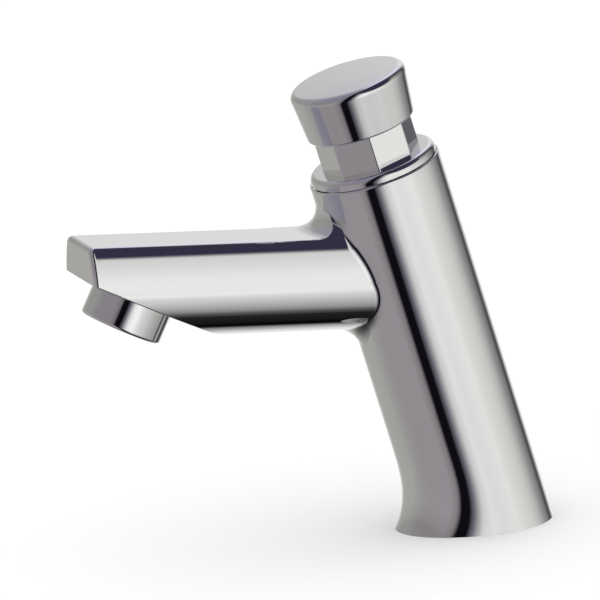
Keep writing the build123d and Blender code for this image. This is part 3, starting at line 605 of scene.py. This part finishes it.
def raised_rim(mesh):
    """Lifts the column's rounded rim to the height that the photograph shows, with a smaller rounding."""
    shrink = RIM_ROUND / RIM_CAD_ROUND
    for vert in mesh.verts:
        along = (vert.co - AXIS_FOOT).dot(AXIS)
        spoke = vert.co - AXIS_FOOT - AXIS * along
        inward = COLUMN_R - spoke.length
        if along > RIM_CAD_FOOT - ON_SPOUT and -ON_SURFACE < inward < RIM_CAD_ROUND + ON_SURFACE:
            radius, height = COLUMN_R - inward * shrink, RIM_FOOT + (along - RIM_CAD_FOOT) * shrink
            vert.co = AXIS_FOOT + spoke.normalized() * radius + AXIS * height
    return mesh


housing_corners = [Vector(corner) for corner in NODES["aerator_housing"].bound_box]
housing_middle = sum(housing_corners, Vector()) / len(housing_corners)
dress("tap_body", "tap", raised_rim(joined_copy("tap_body")), casting_normal)
dress("aerator_housing", "tap", joined_copy("aerator_housing"), turned_normal(housing_middle, AERATOR_AXIS))

# %% [markdown]
# The cap and the bonnet are turned pieces, so their copies are spun from a half section: a list of (radius,
# height along the column's axis) corners in millimetres, some of them rounded.

# %% Spun sections
SPIN_STEPS = 144
ROUND_SEGMENTS = 10
SEAM_JOIN = 0.0002 * MM


def on_axis(radius, height, angle=0.0):
    """The place in the frame of a radius, a height and an angle about the column's raked axis (in mm)."""
    sideways = Vector((0, cos(RAKE), sin(RAKE)))
    spoke = Vector((1, 0, 0)) * cos(angle) + sideways * sin(angle)
    return AXIS_FOOT + (AXIS * height + spoke * radius) * MM


def rounded_path(corners, segments=ROUND_SEGMENTS):
    """The points of a path whose corners are (x, y) or, to be rounded, (x, y, radius)."""
    path = []
    for number, corner in enumerate(corners):
        here = Vector(corner[:2])
        if len(corner) < 3:
            path.append(here)
            continue
        radius = corner[2]
        back = (Vector(corners[number - 1][:2]) - here).normalized()
        ahead = (Vector(corners[(number + 1) % len(corners)][:2]) - here).normalized()
        half = back.angle(ahead) / 2
        middle = here + (back + ahead).normalized() * (radius / sin(half))
        first = (here + back * (radius / tan(half)) - middle).normalized()
        last = (here + ahead * (radius / tan(half)) - middle).normalized()
        path += [middle + first.slerp(last, step / segments) * radius for step in range(segments + 1)]
    return path


def spun(path):
    """A mesh spun about the column's axis from a path of (radius, height) points."""
    mesh = bmesh.new()
    verts = [mesh.verts.new(on_axis(*place)) for place in path]
    edges = [mesh.edges.new(pair) for pair in zip(verts, verts[1:])]
    bmesh.ops.spin(
        mesh, geom=verts + edges, cent=AXIS_FOOT, axis=AXIS, dvec=(0, 0, 0), angle=2 * pi,
        steps=SPIN_STEPS, use_merge=True,
    )
    bmesh.ops.remove_doubles(mesh, verts=mesh.verts, dist=SEAM_JOIN)
    return mesh


print("spun pieces have", SPIN_STEPS, "steps round the axis")

# %% The cap
CAP_LOW, CAP_SHOULDER, CAP_DOME, CAP_ROOF = 136.0, 152.1, 0.9, 149.1
CAP_LOW_R, CAP_HIGH_R, CAP_BORE_R = 17.35, 18.95, 16.25
CAP_SHOULDER_ROUND, CAP_LOW_ROUND = 2.2, 0.9
DOME_MARGIN, DOME_STEPS = 2.5, 20
dome_r = (CAP_HIGH_R**2 + CAP_DOME**2) / (2 * CAP_DOME)
dome_middle = CAP_SHOULDER + CAP_DOME - dome_r
dome_radii = [(CAP_HIGH_R - DOME_MARGIN) * step / DOME_STEPS for step in range(DOME_STEPS + 1)]
cap_section = [(radius, dome_middle + sqrt(dome_r**2 - radius**2)) for radius in dome_radii]
cap_section += [
    (CAP_HIGH_R, CAP_SHOULDER, CAP_SHOULDER_ROUND),
    (CAP_LOW_R, CAP_LOW, CAP_LOW_ROUND),
    (CAP_BORE_R, CAP_LOW),
    (CAP_BORE_R, CAP_ROOF),
    (0.0, CAP_ROOF),
]
cap_mesh = spun(rounded_path(cap_section))
bmesh.ops.recalc_face_normals(cap_mesh, faces=cap_mesh.faces)
dress("push_button", "button", cap_mesh, turned_normal(AXIS_FOOT, AXIS))

# %% [markdown]
# The bonnet's flange sits on the raised rim, and a spigot goes down to the seat inside it. The octagonal head
# is a ring of points round a rounded octagon, lifted from inside the flange to the top, and bridged to the
# flange's crown below and to the rim of the hub's well above.

# %% The bonnet
SEAT, SEAM, FLANGE_TOP, OCTAGON_TOP = 118.7, 121.8, 124.9, 139.6
FLANGE_R, FLANGE_FOOT, FLANGE_ROUND, SPIGOT_R = 20.3, 0.25, 1.9, 18.9
CROWN_R, CROWN_TOP = 13.8, FLANGE_TOP + 0.3
THREAD_R, THREAD_LOW = 15.95, 107.8
BORE_R, GROOVE_R, CIRCLIP_LOW, BUSH_FLANGE_LOW, WEB_LOW = 12.0, 12.7, 110.6, 111.6, 113.0
BUSH_R, WELL_FLOOR, WELL_R = 5.5, 122.0, 8.5
OCTAGON_R, OCTAGON_TURN, OCTAGON_CHAMFER = 15.8, radians(-10.4), 0.4
OCTAGON_EDGE_ROUND, OCTAGON_TOP_ROUND, OCTAGON_EDGE_SEGMENTS = 1.1, 0.93, 5
HEAD_FOOT = 124.0
RIM_TOLERANCE = 0.01
bonnet_section = [
    (CROWN_R, CROWN_TOP),
    (FLANGE_R, FLANGE_TOP, FLANGE_ROUND),
    (FLANGE_R, SEAM + FLANGE_FOOT),
    (FLANGE_R - FLANGE_FOOT, SEAM),
    (SPIGOT_R, SEAM),
    (SPIGOT_R, SEAT),
    (THREAD_R, SEAT),
    (THREAD_R, THREAD_LOW),
    (BORE_R, THREAD_LOW),
    (BORE_R, CIRCLIP_LOW),
    (GROOVE_R, CIRCLIP_LOW),
    (GROOVE_R, BUSH_FLANGE_LOW),
    (BORE_R, BUSH_FLANGE_LOW),
    (BORE_R, WEB_LOW),
    (BUSH_R, WEB_LOW),
    (BUSH_R, WELL_FLOOR),
    (WELL_R, WELL_FLOOR),
    (WELL_R, OCTAGON_TOP),
]
bonnet_mesh = spun(rounded_path(bonnet_section))


def octagon_ring(mesh, radius, height, edge_round=OCTAGON_EDGE_ROUND):
    """The edges of a closed ring round an octagon with rounded corners."""
    turns = [OCTAGON_TURN + pi / 4 * number for number in range(8)]
    corners = [(radius * cos(turn), radius * sin(turn), edge_round) for turn in turns]
    path = rounded_path(corners, OCTAGON_EDGE_SEGMENTS)
    verts = [mesh.verts.new(on_axis(place.length, height, atan2(place.y, place.x))) for place in path]
    return [mesh.edges.new((verts[number - 1], verts[number])) for number in range(len(verts))]


def rim_of(mesh, radius, height):
    """The open edges of the spun mesh that lie at this radius and height."""
    place = Vector((radius, height))
    rim = []
    for edge in mesh.edges:
        ends = [vert.co - AXIS_FOOT for vert in edge.verts]
        flat = [Vector(((end - AXIS * end.dot(AXIS)).length, end.dot(AXIS))) / MM for end in ends]
        if edge.is_boundary and all((end - place).length < RIM_TOLERANCE for end in flat):
            rim.append(edge)
    return rim


loops = [
    rim_of(bonnet_mesh, CROWN_R, CROWN_TOP),
    octagon_ring(bonnet_mesh, OCTAGON_R, HEAD_FOOT),
    octagon_ring(bonnet_mesh, OCTAGON_R, OCTAGON_TOP - OCTAGON_CHAMFER),
    octagon_ring(bonnet_mesh, OCTAGON_R - OCTAGON_CHAMFER / cos(pi / 8), OCTAGON_TOP, OCTAGON_TOP_ROUND),
    rim_of(bonnet_mesh, WELL_R, OCTAGON_TOP),
]
for first, second in zip(loops, loops[1:]):
    bmesh.ops.bridge_loops(bonnet_mesh, edges=first + second)
bmesh.ops.recalc_face_normals(bonnet_mesh, faces=bonnet_mesh.faces)
open_edges = sum(1 for edge in bonnet_mesh.edges if not edge.is_manifold)
print("bonnet: open edges", open_edges, "edges in each ring", [len(loop) for loop in loops])
dress("bonnet", "tap", bonnet_mesh, turned_normal(AXIS_FOOT, AXIS))

# %% [markdown]
# Where the spout's sides meet the column, the casting has a small hollow fillet. A ball rolled along the
# corner gives its shape: the ball's middle is one radius away from both surfaces, so it lies on a wider
# cylinder round the column's axis, and the fillet is the part of the ball between the two places it touches.
# The section is walked from a little above the spout's top edge, where the big upper fillet takes over and
# the ball shrinks to nothing, down the side, round the ridge and along the belly to the big lower fillet.

# %% The walk round the spout's section
ROOT_FILLET_R = 4.4 * MM
WALK_STEPS = 60
WALK_ABOVE = 2.4 * MM
WALK_END = -pi / 2 + 0.45
EDGE_BALL_R = 2.2 * MM
SHRINK_ABOVE, GROWTH_BELOW = 0.9, 0.55
TOP_FILLET_ROOM, LEAST_BALL_R = 1.7, 0.03 * MM


def arc_walk(middle, radius, first, last, steps):
    """(point, outward normal) at each of the steps along an arc of the section."""
    walk = []
    for step in steps:
        angle = first + (last - first) * step / WALK_STEPS
        normal = Vector((cos(angle), sin(angle)))
        walk.append((middle + normal * radius, normal))
    return walk


def ball_radius(rise):
    """The rolling ball's radius beside the spout's side, by the height above the spout's top edge."""
    gap = max(TOP_FILLET_R - max(rise, 0), 0)
    room = TOP_FILLET_R - sqrt(TOP_FILLET_R**2 - gap**2)
    slope = SHRINK_ABOVE if rise > 0 else GROWTH_BELOW
    return min(ROOT_FILLET_R, TOP_FILLET_ROOM * room + LEAST_BALL_R, EDGE_BALL_R - slope * rise)


def section_walk():
    """(point, outward normal, ball radius) round one side of the spout's section, from the top down."""
    top, ridge = [atan2(*(place - FLANK_MIDDLE).yx) for place in (FLANK_TOP, FLANK_RIDGE)]
    above = top + WALK_ABOVE / FLANK_R
    side = arc_walk(FLANK_MIDDLE, FLANK_R, above, ridge, range(WALK_STEPS + 1))
    rise = SPOUT_DEPTH - RIDGE_DEPTH
    belly_r = (RIDGE_HALF**2 + rise**2) / (2 * rise)
    belly_middle = Vector((0, belly_r - SPOUT_DEPTH))
    start = atan2(*(FLANK_RIDGE - belly_middle).yx)
    belly = arc_walk(belly_middle, belly_r, start, WALK_END, range(1, WALK_STEPS + 1))
    walk = [(place, normal, ball_radius(place.y)) for place, normal in side]
    return walk + [(place, normal, ROOT_FILLET_R) for place, normal in belly]


print("stops in the walk:", len(section_walk()))

# %% The fillet at the spout's root
ROOT_FILLET_SINK = 0.004 * MM
ROOT_FILLET_STEPS = 16


def fillet_row(point, normal, radius, side):
    """The fillet's points across the corner at one section point, on one side of the spout."""
    offset = radius - ROOT_FILLET_SINK
    outward = (Vector((normal.x * side, 0, 0)) + SPOUT_UP * normal.y).normalized()
    start = SPOUT_ORIGIN + Vector((point.x * side, 0, 0)) + SPOUT_UP * point.y + outward * offset
    spoke = start - AXIS_FOOT - AXIS * (start - AXIS_FOOT).dot(AXIS)
    run = SPOUT_ALONG - AXIS * SPOUT_ALONG.dot(AXIS)
    a, b = run.dot(run), spoke.dot(run)
    c = spoke.dot(spoke) - (COLUMN_R + offset) ** 2
    middle = start + SPOUT_ALONG * ((-b + sqrt(b * b - a * c)) / a)
    level_with = AXIS_FOOT + AXIS * (middle - AXIS_FOOT).dot(AXIS)
    inward = (level_with - middle).normalized()
    return [
        middle + (-outward).slerp(inward, step / ROOT_FILLET_STEPS) * radius
        for step in range(ROOT_FILLET_STEPS + 1)
    ]


def root_fillet(name, side):
    """The hollow fillet between the column and one side of the spout."""
    mesh = bmesh.new()
    rows = [[mesh.verts.new(place) for place in fillet_row(*stop, side)] for stop in section_walk()]
    for row, after in zip(rows, rows[1:]):
        for number in range(ROOT_FILLET_STEPS):
            corners = [row[number], row[number + 1], after[number + 1], after[number]]
            mesh.faces.new(corners if side > 0 else corners[::-1]).smooth = True
    piece = chrome_object(name, mesh)
    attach(piece, "tap")
    facing = piece.data.polygons[len(piece.data.polygons) // 3].normal
    print(name, "faces", len(piece.data.polygons), "faces along X", round(facing.x, 2))


root_fillet("root_fillet_right", 1)
root_fillet("root_fillet_left", -1)

# %% The end
print("scene built")
